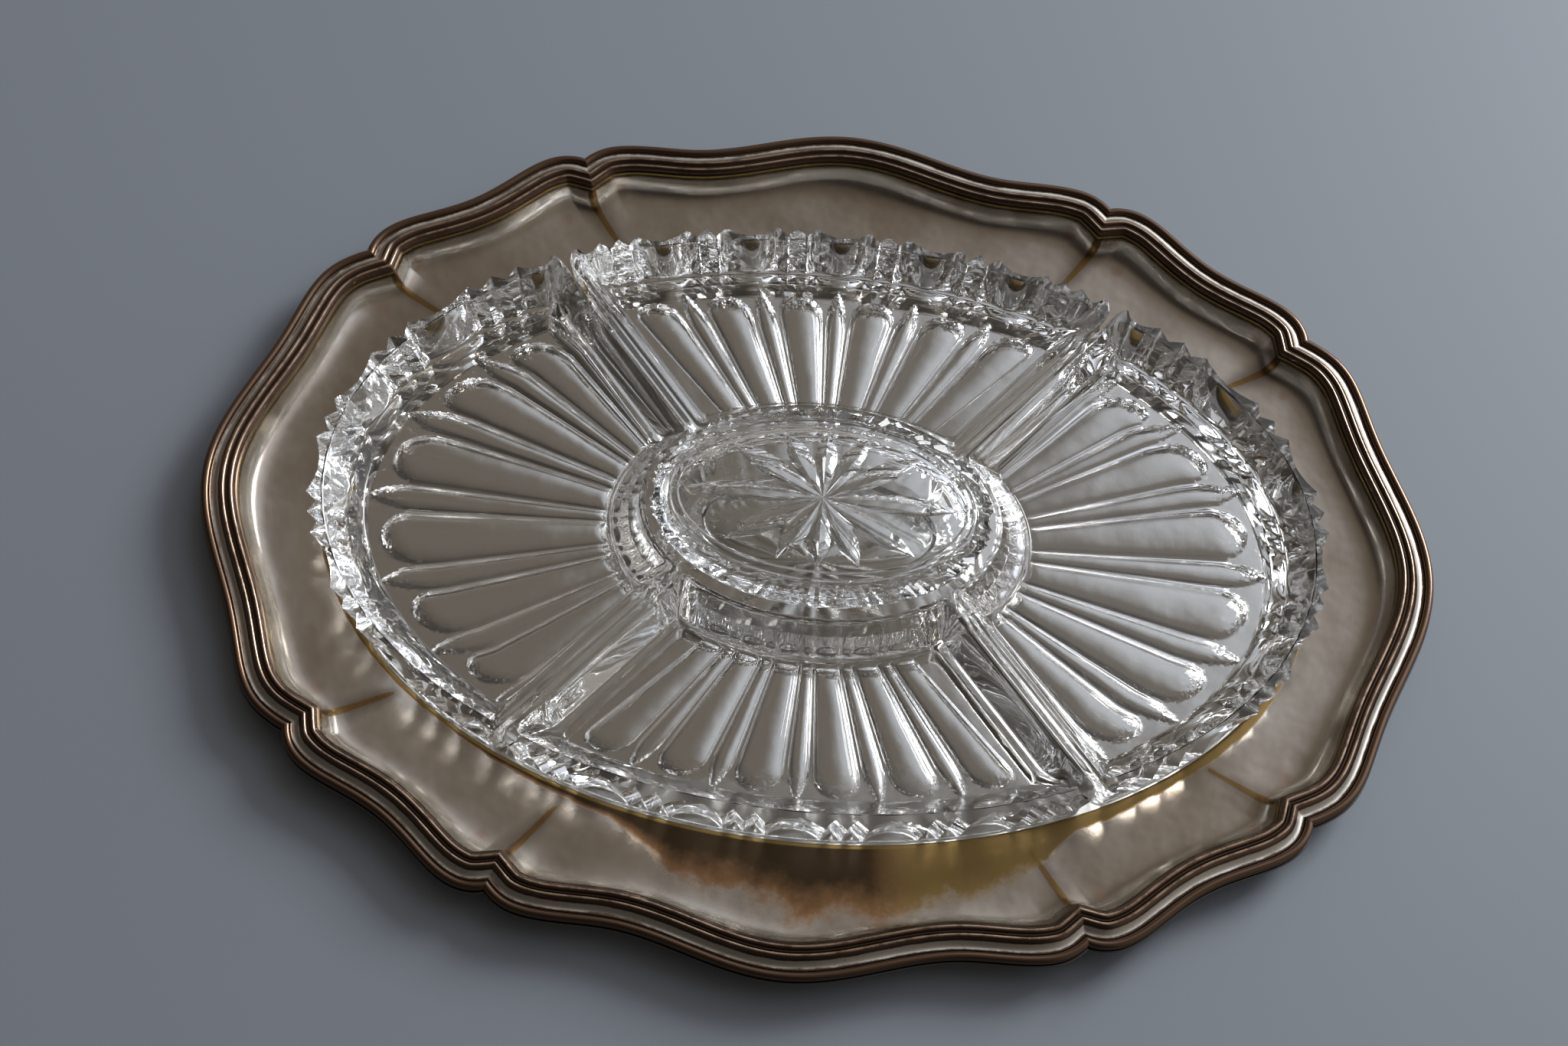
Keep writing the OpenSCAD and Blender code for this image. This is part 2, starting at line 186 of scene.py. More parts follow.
outlineShape = {
    "endRise": 42.0,  # peak of an end lobe over its two notches
    "sideRise": 20.5,
    "cornerRise": 6.3, "cornerDip": 3.5,
    "notchEndShare": 0.287, "notchSideShare": 0.2286,
    "endShares": (0.285, 0.43, 0.285),  # shoulders, long arc, peak
    "sideShares": (0.395, 0.0, 0.605),
    "longSharp": 14, "cornerSharp": 8,  # how square the shoulders are
    "endPeak": 0.7, "sidePeak": 0.65, "cornerPeak": 0.75,  # share of a lobe's length under its peak
    "longSteps": 16, "shortSteps": 10,
    "fine": 8,  # points drawn for each step
}
borderLow, borderHigh = boxMm("rim_border")
trayLen, trayWid = (borderHigh - borderLow)[:2]
rimTop = borderHigh[2]


def lobe(p, q, shape, steps):
    shoulder, sharpness, arc, peak, width = shape
    t = (1 - np.cos(np.pi * np.arange(steps) / steps)) / 2
    s = np.abs(2 * t - 1)
    chord = q - p
    out = np.array([chord[1], -chord[0]]) / np.linalg.norm(chord)
    rise = shoulder * (1 - s ** sharpness) + arc * (1 - s * s)
    rise = rise + peak * (1 + np.cos(np.pi * np.minimum(s / width, 1))) / 2
    return p + np.outer(t, chord) + np.outer(rise, out)


def trayOutline(shape):
    end = np.array([trayLen / 2 - shape["endRise"], trayWid * shape["notchEndShare"]])
    side = np.array([trayLen * shape["notchSideShare"], trayWid / 2 - shape["sideRise"]])
    a, b, c = np.multiply(shape["endShares"], shape["endRise"])
    endLobe = (a, shape["longSharp"], b, c, shape["endPeak"])
    a, b, c = np.multiply(shape["sideShares"], shape["sideRise"])
    sideLobe = (a, shape["longSharp"], b, c, shape["sidePeak"])
    cornerLobe = (shape["cornerRise"], shape["cornerSharp"], 0, -shape["cornerDip"], shape["cornerPeak"])
    notches = [end * (1, -1), end, side, side * (-1, 1), end * (-1, 1), -end, -side, side * (1, -1)]
    kinds = [endLobe, cornerLobe, sideLobe, cornerLobe] * 2
    steps = [shape["longSteps"], shape["shortSteps"]] * 4
    lobes = [lobe(notches[k], notches[(k + 1) % 8], kinds[k], steps[k]) for k in range(8)]
    return np.concatenate(lobes), steps


def splineWeights(count, fine):  # natural cubic spline through count points
    system = np.eye(count)
    bend = np.zeros((count, count))
    for k in range(1, count - 1):
        system[k, k - 1:k + 2] = 1, 4, 1
        bend[k, k - 1:k + 2] = 6, -12, 6
    second = np.linalg.solve(system, bend)
    rows = []
    for k in range(count - 1):
        for x in np.arange(fine) / fine:
            y = 1 - x
            row = second[k] * (y ** 3 - y) / 6 + second[k + 1] * (x ** 3 - x) / 6
            row[k] += y
            row[k + 1] += x
            rows.append(row)
    return np.array(rows)


outline, lobeSteps = trayOutline(outlineShape)
weights = {s: splineWeights(s + 1, outlineShape["fine"]) for s in set(lobeSteps)}
notchColumns = np.cumsum([0] + lobeSteps[:-1]) * outlineShape["fine"]


def insetLine(d):  # the outline moved inward, mitred at the notches and drawn smooth between them
    before = outline - np.roll(outline, 1, 0)
    before = np.column_stack([before[:, 1], -before[:, 0]]) / np.linalg.norm(before, axis=1)[:, None]
    after = np.roll(before, -1, 0)
    mitre = (before + after) / (1 + (before * after).sum(1))[:, None]
    line = outline - d * mitre
    drawn, start = [], 0
    for steps in lobeSteps:
        taken = np.arange(start, start + steps + 1) % len(line)
        drawn.append(weights[steps] @ line[taken])
        start += steps
    return np.concatenate(drawn)


# Finishes of the tray

plateLook = {
    "satin": colour(0.49, 0.435, 0.37), "film": colour(0.31, 0.25, 0.19),
    "bright": colour(0.62, 0.58, 0.52), "clean": colour(0.55, 0.53, 0.495),
    "dark": colour(0.10, 0.08, 0.065), "smudge": colour(0.20, 0.165, 0.13),
    "copper": colour(0.42, 0.27, 0.19), "crease": colour(0.22, 0.135, 0.055),
    "gold": colour(0.235, 0.145, 0.038), "line": colour(0.25, 0.165, 0.055),
    "rust": colour(0.30, 0.15, 0.055), "burnt": colour(0.07, 0.046, 0.026),
    "satinRough": 0.22, "brightRough": 0.15, "cleanRough": 0.03, "stainRough": 0.34,
    "brushed": 0.25, "dents": 0.0006,
    "cloudScale": 11.0, "dentScale": 38.0, "driftScale": 45.0, "raggedScale": 160.0, "speckScale": 1400.0,
    "brushTurns": 5.0, "brushLines": 110.0,
}


def silverPlate(look):
    finish, tree, shader = newFinish("silverPlate")
    place = put(tree, "ShaderNodeTexCoord").outputs["Object"]
    reach = layerOf(tree, "reach")
    clouds = grain(tree, place, look["cloudScale"], 6.0, 0.62)
    ragged = grain(tree, place, look["raggedScale"], 5.0, 0.6)
    specks = grain(tree, place, look["speckScale"], 2.0)
    # brush lines run round the tray
    axes = put(tree, "ShaderNodeSeparateXYZ", {"Vector": place}).outputs
    turn = sums(tree, "ARCTAN2", sums(tree, "MULTIPLY", axes["Y"], 1.4), axes["X"])
    brushPlace = put(tree, "ShaderNodeCombineXYZ", {
        "X": sums(tree, "MULTIPLY", turn, look["brushTurns"]),
        "Y": sums(tree, "MULTIPLY", reach, look["brushLines"])}).outputs[0]
    brush = grain(tree, brushPlace, 1.0, 5.0, 0.7)
    body = blendColour(tree, fade(tree, clouds, 0.36, 0.68), look["satin"], look["film"])
    body = blendColour(tree, fade(tree, specks, 0.62, 0.8, 0.0, 0.5), body, look["film"])
    blur = sums(tree, "MULTIPLY_ADD", clouds, 9.0, layerOf(tree, "creaseGap"))
    body = blendColour(tree, fade(tree, blur, 4.0, 9.5, 0.75, 0.0), body, look["smudge"])
    # lighter silver along the border: worn plate, and partly a painted highlight on the steep wall
    wall = sums(tree, "ADD", reach, sums(tree, "MULTIPLY", ragged, 0.1))
    nearBorder = fade(tree, wall, 0.09, 0.19, 1.0, 0.0)
    body = blendColour(tree, nearBorder, body, look["bright"])
    wander = sums(tree, "MULTIPLY_ADD", ragged, 0.5, -0.25)
    goldGap = layerOf(tree, "goldGap")
    drift = grain(tree, place, look["driftScale"], 5.0, 0.65)
    drift = sums(tree, "MULTIPLY_ADD", drift, 1.1, -0.55)
    stain = fade(tree, sums(tree, "ADD", goldGap, sums(tree, "ADD", wander, drift)), 0.72, 1.12, 1.0, 0.0)
    core = fade(tree, sums(tree, "ADD", goldGap, drift), 0.35, 0.85, 1.0, 0.0)
    crease = fade(tree, sums(tree, "ADD", layerOf(tree, "creaseGap"), wander), 0.75, 1.15, 1.0, 0.0)
    spot = fade(tree, sums(tree, "MULTIPLY_ADD", ragged, 1.4, layerOf(tree, "spotGap")), 1.0, 1.7, 0.5, 0.0)
    body = blendColour(tree, spot, body, look["copper"])
    burnt = fade(tree, sums(tree, "MULTIPLY_ADD", clouds, 0.06, axes["X"]), 0.05, 0.075, 1.0, 0.0)
    tone = blendColour(tree, burnt, look["gold"], look["rust"])
    body = blendColour(tree, sums(tree, "MULTIPLY", stain, 0.9), body, tone)
    body = blendColour(tree, sums(tree, "MULTIPLY", core, burnt), body, look["burnt"])
    body = blendColour(tree, crease, body, look["crease"])
    body = blendColour(tree, fade(tree, reach, 0.97, 0.985), body, look["line"])
    under = fade(tree, reach, 1.0, 1.02)
    body = blendColour(tree, under, body, look["clean"])
    rim = fade(tree, sums(tree, "MULTIPLY_ADD", ragged, 0.012, reach), 0.006, 0.02, 1.0, 0.0)
    body = blendColour(tree, rim, body, look["dark"])
    tree.links.new(body, shader.inputs["Base Color"])
    rough = fade(tree, nearBorder, 0.0, 1.0, look["satinRough"], look["brightRough"])
    rough = sums(tree, "MULTIPLY_ADD", under, look["cleanRough"] - look["satinRough"], rough)
    rough = sums(tree, "MULTIPLY_ADD", sums(tree, "MAXIMUM", stain, core), look["stainRough"], rough)
    rough = sums(tree, "MULTIPLY_ADD", clouds, 0.12, sums(tree, "SUBTRACT", rough, 0.06))
    rough = sums(tree, "MULTIPLY_ADD", brush, 0.10, sums(tree, "SUBTRACT", rough, 0.05))
    tree.links.new(rough, shader.inputs["Roughness"])
    height = sums(tree, "MULTIPLY_ADD", brush, 1.0, sums(tree, "MULTIPLY", specks, 0.3))
    bump = put(tree, "ShaderNodeBump", {"Strength": 0.05, "Distance": 0.0004, "Height": height})
    dents = grain(tree, place, look["dentScale"], 3.0, 0.45)  # the pressed sheet is a little uneven
    wanted = {"Strength": 1.0, "Distance": look["dents"], "Height": dents, "Normal": bump.outputs[0]}
    tree.links.new(put(tree, "ShaderNodeBump", wanted).outputs[0], shader.inputs["Normal"])
    shader.inputs["Metallic"].default_value = 1.0
    shader.inputs["Anisotropic"].default_value = look["brushed"]  # streaks across the brush lines
    shader.inputs["Anisotropic Rotation"].default_value = 0.25
    around = put(tree, "ShaderNodeTangent", direction_type="RADIAL", axis="Z").outputs[0]
    tree.links.new(around, shader.inputs["Tangent"])
    return finish


borderLook = {
    "lip": colour(0.16, 0.14, 0.12), "bead": colour(0.17, 0.108, 0.074),
    "groove": colour(0.06, 0.044, 0.034), "cove": colour(0.72, 0.68, 0.615),
    "reedLow": colour(0.14, 0.092, 0.067), "reedTop": colour(0.52, 0.38, 0.28),
    "gold": colour(0.36, 0.25, 0.09),
    "rough": 0.23, "coveRough": 0.2,
    "patchScale": 34.0, "raggedScale": 190.0, "speckScale": 1500.0,
    "coveFrom": (3.9, 4.6), "coveTo": (6.35, 6.75),  # inset at which the satin of the cove fades in and out
}


def wornBorder(look, width):
    finish, tree, shader = newFinish("wornBorder")
    place = put(tree, "ShaderNodeTexCoord").outputs["Object"]
    inset = layerOf(tree, "inset")
    ridge = layerOf(tree, "ridge")
    ragged = grain(tree, place, look["raggedScale"], 7.0, 0.68)
    patches = grain(tree, place, look["patchScale"], 4.0, 0.6)
    specks = grain(tree, place, look["speckScale"], 2.0)
    wander = sums(tree, "MULTIPLY_ADD", ragged, 1.5, sums(tree, "MULTIPLY_ADD", patches, 1.6, -1.55))
    shifted = sums(tree, "ADD", inset, wander)
    ramp = put(tree, "ShaderNodeValToRGB", {"Fac": sums(tree, "DIVIDE", inset, width)})
    bands = [(0.0, "lip"), (0.025, "lip"), (0.04, "groove"), (0.065, "bead"), (0.23, "bead"),
             (0.265, "groove"), (0.3, "bead"), (0.46, "reedLow"), (0.5, "groove"), (0.54, "reedLow"),
             (0.69, "reedLow"), (0.715, "groove"), (0.74, "reedLow"), (0.93, "reedLow"),
             (0.965, "groove"), (1.0, "gold")]
    stops = ramp.color_ramp.elements
    while len(stops) < len(bands):
        stops.new(0.5)
    for stop, (at, name) in zip(stops, bands):
        stop.position = at
        stop.color = look[name]
    # tops of the reeds: copper showing through the worn plate, and partly a painted highlight along each
    # ridge
    ridgeWearAndHighlight = sums(tree, "MULTIPLY", fade(tree, ridge, 0.72, 0.98), fade(tree, ragged, 0.36, 0.56, 0.25, 1.0))
    body = blendColour(tree, ridgeWearAndHighlight, ramp.outputs["Color"], look["reedTop"])
    coveOut = fade(tree, shifted, *look["coveFrom"])
    coveIn = fade(tree, sums(tree, "MULTIPLY_ADD", ragged, 0.5, inset), *look["coveTo"], 1.0, 0.0)
    cove = sums(tree, "MULTIPLY", coveOut, coveIn)
    body = blendColour(tree, cove, body, look["cove"])
    body = blendColour(tree, fade(tree, specks, 0.6, 0.78, 0.0, 0.45), body, look["reedLow"])
    tree.links.new(body, shader.inputs["Base Color"])
    rough = sums(tree, "MULTIPLY_ADD", ragged, 0.16, look["rough"] - 0.08)
    rough = sums(tree, "MULTIPLY_ADD", cove, look["coveRough"], rough)
    tree.links.new(rough, shader.inputs["Roughness"])
    height = sums(tree, "MULTIPLY_ADD", specks, 0.4, sums(tree, "MULTIPLY", cove, 0.5))
    bump = put(tree, "ShaderNodeBump", {"Strength": 0.12, "Distance": 0.0003, "Height": height})
    tree.links.new(bump.outputs[0], shader.inputs["Normal"])
    shader.inputs["Metallic"].default_value = 1.0
    return finish


# Tray pan: flange, steep wall, ledge and well in one sheet

glassShape = {  # the ring of wedge dishes, which the well is made to hold
    "length": 345.0, "width": 226.0,  # over the tips of the rims
    "endFlare": 6.4, "sideFlare": 3.4, "wellPlay": 2.0,
    "tipNear": 0.285,  # from the middle of a wide cut to the next tip, as a share of the period
}
tipOval = np.array([glassShape["length"], glassShape["width"]]) / 2
baseOval = tipOval - (glassShape["endFlare"], glassShape["sideFlare"])
wellOval = baseOval + glassShape["wellPlay"]
panShape = {
    "body": "tray", "node": "tray_pan", "slot": "silver_plate",
    "sharp": 50,  # degrees between faces, from which an edge is drawn sharp
    "sheet": 1.2, "wellDepth": 1.6, "borderWidth": 13.0,
    "seatIn": 2.8, "seatOut": 6.0,  # drop of the flange under the reeds
    "flangeInset": 1.0,  # from the outline to the edge of the sheet
    "flangeSlack": 0.05,  # keeps the flange just clear of the border's seat
    "bendIn": 0.3, "bendDrop": 0.1, "bendUnder": 1.3,  # where the flange turns down into the wall
    "wallShare": 0.82, "wallReach": 0.055,
    "underAhead": 0.05,  # the underside runs ahead, so that the steep wall keeps its thickness
    "creaseFade": 0.6, "creaseRoom": 5.0,
    "creaseLength": 24.0, "creaseWide": 1.5, "creaseThin": 0.7,
    "spotAside": 11.0, "spotIn": 1.5, "spotSize": 3.2,  # copper spots beside each crease
    "wellRound": 0.8, "wellLean": 0.5, "footInset": 1.0,
    # width of the gold stain beside the well, along the front
    "goldAlong": (-170, -120, -60, -35, 0, 40, 75, 92, 115, 150, 166),
    "goldWidth": (1.5, 1.2, 4.0, 18, 26, 26, 17, 4.5, 3.5, 3, 1.5),
    "goldLine": 0.9,
}


def panRing(border, f, shape, grow=0.0):
    mid = np.array([trayLen, trayWid]) / 2 - shape["borderWidth"] - shape["creaseRoom"]
    k = min(f / shape["creaseFade"], 1)
    inner = toward(wellOval + grow, border)
    outer = border * (1 - k) + toward(mid, border) * k
    return inner + (outer - inner) * (1 - f)


def panHeight(f, shape):
    ledge = shape["sheet"] + shape["wellDepth"]
    seat = rimTop - shape["seatIn"]
    return ledge + (seat - ledge) * (shape["wallShare"] * np.exp(-f / shape["wallReach"])
                                     + (1 - shape["wallShare"]) * (1 - f) ** 2)


def segmentGap(points, a, b):  # distance to a line from a to b, and the share of the way along it
    way = b - a
    share = np.clip((points - a) @ way / (way @ way), 0, 1)
    return np.linalg.norm(points - a - share[:, None] * way, axis=1), share


def panMarks(flat, border, shape):  # how far each point is from a crease, a spot and the gold stain
    creaseGap = np.full(len(flat), 9.0)
    spotGap = np.full(len(flat), 9.0)
    for column in notchColumns:
        start = border[column]
        way = toward(wellOval, start[None])[0] - start
        way = way / np.linalg.norm(way)
        end = start + way * shape["creaseLength"]
        gap, share = segmentGap(flat, start, end)
        halfWidth = shape["creaseWide"] + (shape["creaseThin"] - shape["creaseWide"]) * share
        creaseGap = np.minimum(creaseGap, gap / halfWidth)
        across = np.array([-way[1], way[0]])
        for side in (-1, 1):
            spot = start + across * side * shape["spotAside"] + way * shape["spotIn"]
            spotGap = np.minimum(spotGap, np.linalg.norm(flat - spot, axis=1) / shape["spotSize"])
    beyond = np.linalg.norm(flat / wellOval, axis=1) - 1
    gap = beyond * np.linalg.norm(toward(wellOval, flat), axis=1)
    band = np.interp(flat[:, 0], shape["goldAlong"], shape["goldWidth"])
    band = np.where(flat[:, 1] < 0, np.maximum(band, shape["goldLine"]), shape["goldLine"])
    return {"creaseGap": creaseGap, "spotGap": spotGap, "goldGap": np.abs(gap) / band}


def addTrayPan(shape, finish):
    sheet = shape["sheet"]
    border = insetLine(shape["borderWidth"])
    seatIn, seatOut = rimTop - shape["seatIn"], rimTop - shape["seatOut"]
    slack = shape["flangeSlack"]
    rows = [lift(toward(wellOval + sheet - shape["footInset"], border), 0)]
    reach = [2.0]  # 0 along the border, 1 at the edge of the well and more inside it
    for f in (1, 0.7, 0.45, 0.3, 0.2, 0.12, 0.06, 0.02, 0):
        ahead = min(f + shape["underAhead"], 1)
        rows.append(lift(panRing(border, f, shape, sheet), panHeight(ahead, shape) - sheet))
        reach.append(f)
    flangeEdge = insetLine(shape["flangeInset"])
    rows.append(lift(insetLine(shape["borderWidth"] - sheet), seatIn - shape["bendUnder"] * sheet))
    rows.append(lift(flangeEdge, seatOut - sheet))
    rows.append(lift(flangeEdge, seatOut - slack))
    rows.append(lift(insetLine(shape["borderWidth"] - shape["bendIn"]), seatIn - slack - shape["bendDrop"]))
    reach += [0, 0, 0, 0]
    # rows of the upper side, closer together down the wall
    upper = np.concatenate([np.linspace(0, 1, 26)[:-1] ** 1.5 * 0.25, np.linspace(0.25, 1, 22)])
    for f in upper:
        rows.append(lift(panRing(border, f, shape), panHeight(f, shape)))
        reach.append(f)
    edge, lean = shape["wellRound"], shape["wellLean"]
    for turn in np.radians((30, 60, 90)):  # rounded edge of the well
        drop = edge * (1 - np.cos(turn))
        rows.append(lift(toward(wellOval - edge * np.sin(turn), border), sheet + shape["wellDepth"] - drop))
        reach.append(1.0)
    for share in (0.3, 0.7, 1.0):
        line = toward(wellOval - edge - lean * share, border)
        rows.append(lift(line, sheet + edge * (1 - share)))
        reach.append(1.0 + share * 0.02)
    for share in (0.85, 0.6, 0.3, 0.08):
        rows.append(lift(toward(wellOval - edge - lean, border) * share, sheet))
        reach.append(1.0 + (1 - share))
    count = len(border)
    points = np.concatenate(rows)
    faces = gridFaces(len(rows), count)
    faces += [list(range(count)), list(range((len(rows) - 1) * count, len(rows) * count))]
    layers = {"reach": np.repeat(reach, count), **panMarks(points[:, :2], border, shape)}
    return makePiece("trayPan", points, faces, layers, finish, shape)


# Border: lip, bead, cove and two reeds, swept round the outline

borderShape = {
    "body": "tray", "node": "rim_border", "slot": "worn_border", "sharp": 38,
    "width": 13.0, "stepWidth": 0.9, "lipRadius": 0.42,
    "beadRadius": 1.5, "beadInset": 1.9, "beadLift": 2.8,
    "coveDrop": 1.7, "coveTurn": 128.0,
    "reedWidth": 2.8, "reedHeight": 0.9, "reedRoot": 0.25,
    "stepDrop": 0.45, "coveEdge": 0.3, "beadGap": 0.1, "lipLift": 0.55,
}


def borderSection(shape):  # inset, height and ridge of each point, from the seat's inner edge outward
    width, reedHeight, root = shape["width"], shape["reedHeight"], shape["reedRoot"]
    reedBase = rimTop - reedHeight
    seatIn, seatOut = rimTop - panShape["seatIn"], rimTop - panShape["seatOut"]
    line = [(panShape["flangeInset"], seatOut, 0), (width, seatIn, 0)]
    for back, up in ((-0.02, 0.35), (0.1, 0.8), (0.4, 1.15), (0.8, 1.3)):  # rounded inner edge
        line.append((width - back, seatIn + up, 0))
    line.append((width - shape["stepWidth"], reedBase - shape["stepDrop"], 0))
    for reed in range(2):
        start = width - shape["stepWidth"] - reed * shape["reedWidth"]
        for share in np.linspace(0.06, 0.94, 11):
            swell = math.sin(math.pi * share) ** 1.3
            z = reedBase - root + (reedHeight + root) * swell
            line.append((start - shape["reedWidth"] * share, z, swell))
    coveIn = width - shape["stepWidth"] - 2 * shape["reedWidth"]
    coveOut = shape["beadInset"] + shape["beadRadius"] + shape["beadGap"]
    for share in np.linspace(0, 1, 14):
        drop = shape["coveDrop"] * math.sin(math.radians(shape["coveTurn"]) * share) ** 0.9
        line.append((coveIn + (coveOut - coveIn) * share, reedBase - shape["coveEdge"] - drop, 0))
    beadHeight = seatOut + shape["beadLift"]
    for turn in np.radians(np.linspace(12, 205, 18)):
        line.append((shape["beadInset"] + shape["beadRadius"] * math.cos(turn),
                     beadHeight + shape["beadRadius"] * math.sin(turn), 0))
    lip = shape["lipRadius"]
    for turn in np.radians(np.linspace(60, 250, 8)):
        line.append((lip + lip * math.cos(turn), seatOut + shape["lipLift"] + lip * math.sin(turn), 0))
    return line


def addBorder(shape, finish):
    section = borderSection(shape)
    lines = [insetLine(d) for d, z, ridge in section]
    count = len(lines[0])
    rows = [lift(line, z) for line, (d, z, ridge) in zip(lines, section)]
    points = np.concatenate(rows)
    total = len(points)
    faces = [[corner % total for corner in face] for face in gridFaces(len(rows) + 1, count)]
    layers = {"inset": np.repeat([d for d, z, ridge in section], count),
              "ridge": np.repeat([ridge for d, z, ridge in section], count)}
    return makePiece("rimBorder", points, faces, layers, finish, shape)


# Glass

glassLook = {
    "tint": colour(0.985, 0.99, 0.99), "index": 1.51, "smear": 0.035, "stipple": 0.0006,
    "smearScale": 22.0, "rippleScale": 90.0, "dotScale": 620.0,
}


def clearGlass(look):
    finish, tree, shader = newFinish("clearGlass")
    place = put(tree, "ShaderNodeTexCoord").outputs["Object"]
    smear = grain(tree, place, look["smearScale"], 5.0, 0.65, 0.6)
    tree.links.new(fade(tree, smear, 0.55, 0.8, 0.0, look["smear"]), shader.inputs["Roughness"])
    ripple = grain(tree, place, look["rippleScale"], 2.0)
    bump = put(tree, "ShaderNodeBump", {"Strength": 0.04, "Distance": 0.0004, "Height": ripple})
    dots = grain(tree, place, look["dotScale"], 1.0)
    wanted = {"Strength": layerOf(tree, "stipple"), "Distance": look["stipple"], "Height": dots,
              "Normal": bump.outputs[0]}
    tree.links.new(put(tree, "ShaderNodeBump", wanted).outputs[0], shader.inputs["Normal"])
    shader.inputs["Base Color"].default_value = look["tint"]
    shader.inputs["IOR"].default_value = look["index"]
    shader.inputs["Transmission Weight"].default_value = 1.0
    return finish


# Shapes that the glass pieces share

def hump(x):
    return 4 * x * (1 - x)


def toothAt(place):  # 1 at the tips of the teeth, 0 at the bottom of each cut
    near = glassShape["tipNear"]
    s = place % 1.0
    s = np.minimum(s, 1 - s)
    wide = hump((s + near) / (2 * near))
    narrow = 1 - np.abs(2 * (s - near) / (0.5 - near) - 1)
    return 1 - np.where(s < near, wide, narrow)


def ovalPoints(oval, t):
    return np.column_stack([oval[0] * np.cos(t), oval[1] * np.sin(t)])


def ovalNormals(oval, t):
    n = np.column_stack([oval[1] * np.cos(t), oval[0] * np.sin(t)])
    return n / np.linalg.norm(n, axis=1, keepdims=True)


# Lid: toothed edge, double ring and a star of mitre cuts

lidShape = {
    "body": "lid", "node": "lid", "slot": "clear_glass", "sharp": 9,
    "length": 116.0, "width": 76.0, "glass": 4.0, "dome": 0.9,
    "edgeHeight": 2.2, "registerHeight": 2.5, "registerWall": 3.0,
    "periods": 18, "cut": 2.0, "cutRise": 0.9,
    "shoulder": (6.0, 7.4), "ringWidth": 1.3, "ringDrop": 1.6, "groove": 0.7,
    "petals": 12, "petalWidth": 3.7, "widest": 0.62, "starDepth": 2.8, "starMargin": (2.0, 1.5),
    "columns": 36, "cutColumns": 10,  # to a petal, and on either side of its mitre line
}
lidOval = np.array([lidShape["length"], lidShape["width"]]) / 2
ringOval = lidOval - lidShape["shoulder"]
panelOval = ringOval - 3 * lidShape["ringWidth"]


def lidSection(shape, low, top):
    register = bowlOval - centreShape["wall"] - centreShape["registerPlay"]
    hollow = register - shape["registerWall"]
    seat = low + shape["registerHeight"]
    ceiling, vault = top - shape["glass"], top - shape["glass"] - low
    # each row: oval, height, share of the teeth, share of the spacing of the teeth
    line = [(hollow * q, ceiling - vault * q ** 8, 0, 1)
            for q in (0.05, 0.3, 0.5, 0.6, 0.7, 0.77, 0.83, 0.88, 0.92, 0.95, 0.975, 0.99)]
    line += [(register - 2.4, low, 0, 1), (register - 0.5, low, 0, 1),
             (register, low + 0.5, 0, 1), (register, seat - 0.1, 0, 1), (register + 0.3, seat, 0, 1),
             (bowlOval - 0.4, seat, 0, 1), (bowlOval, seat + 0.3, 0.3, 1)]
    edge = lidOval - shape["cut"]
    edgeZ = seat + shape["edgeHeight"] - shape["cutRise"]
    for s in (0.35, 0.7, 1.0):
        z = seat + 0.3 + (edgeZ - seat - 0.3) * s
        line.append((bowlOval + (edge - bowlOval) * s, z, 0.3 + 0.7 * s, 1))
    ringZ = top - shape["ringDrop"]
    for s in (0.06, 0.3, 0.6, 0.85, 1.0):  # sloped shoulder
        line.append((edge + (ringOval + 0.3 - edge) * s, edgeZ + (ringZ - edgeZ) * s, 1 - s, 1 - 0.4 * s))
    wide, grooveZ = shape["ringWidth"], ringZ - shape["groove"]
    line += [(ringOval - 0.15 * wide, ringZ - 0.05, 0, 0.5), (ringOval - 0.45 * wide, grooveZ, 0, 0.45),
             (ringOval - 0.75 * wide, grooveZ, 0, 0.4), (ringOval - 1.05 * wide, ringZ, 0, 0.3),
             (ringOval - 1.4 * wide, ringZ + 0.35, 0, 0.25), (ringOval - 1.9 * wide, ringZ + 0.55, 0, 0.2),
             (ringOval - 2.4 * wide, ringZ + 0.75, 0, 0.1), (ringOval - 2.6 * wide, ringZ + 0.75, 0, 0.05),
             (ringOval - 2.85 * wide, ringZ + 1.2, 0, 0), (panelOval, top, 0, 0)]
    return line


def starRows(shape, panelEdge, petal, local, top):  # from the edge of the panel to the middle
    petals, inside, half = shape["petals"], shape["cutColumns"], shape["columns"] // 2
    starOval = panelOval - shape["starMargin"]
    axis = 2 * np.pi * petal / petals
    along = np.column_stack([np.cos(axis), np.sin(axis)])
    across = np.column_stack([-along[:, 1], along[:, 0]])
    tips = toward(starOval, along)
    sideAngle = axis + np.sign(local) * np.pi / petals
    border = toward(starOval, np.column_stack([np.cos(sideAngle), np.sin(sideAngle)]))
    within = np.clip(np.abs(local) / inside, 0, 1)
    outside = np.clip((np.abs(local) - inside) / (half - inside), 0, 1)
    profile = (1 - within) * (1 + 0.5 * within)  # a mitre line with steeper edges

    def petalWidth(q):  # petals taper to the middle and to their tips
        widest = shape["widest"]
        if q < widest:
            swell = math.sin(math.pi / 2 * q / widest)
        else:
            swell = math.cos(math.pi / 2 * (q - widest) / (1 - widest))
        return max(shape["petalWidth"] * swell, 0.03)

    def starRow(q):
        width = petalWidth(q)
        cut = tips * q + across * (np.sign(local) * within * width)[:, None]
        flat = cut + (border * q - cut) * outside[:, None]
        return flat, shape["starDepth"] * width / shape["petalWidth"] * profile

    def domed(flat, depth):
        radius = np.linalg.norm(flat / panelOval, axis=1)
        return lift(flat, top + shape["dome"] * (1 - np.clip(radius, 0, 1) ** 2) - depth)

    tipRow = starRow(1.0)[0]
    rows = [domed(panelEdge + (tipRow - panelEdge) * s, 0) for s in (0.3, 0.7)]
    for q in np.concatenate([np.linspace(1, 0.9, 5), np.linspace(0.88, 0.04, 30)]):
        rows.append(domed(*starRow(q)))
    return rows


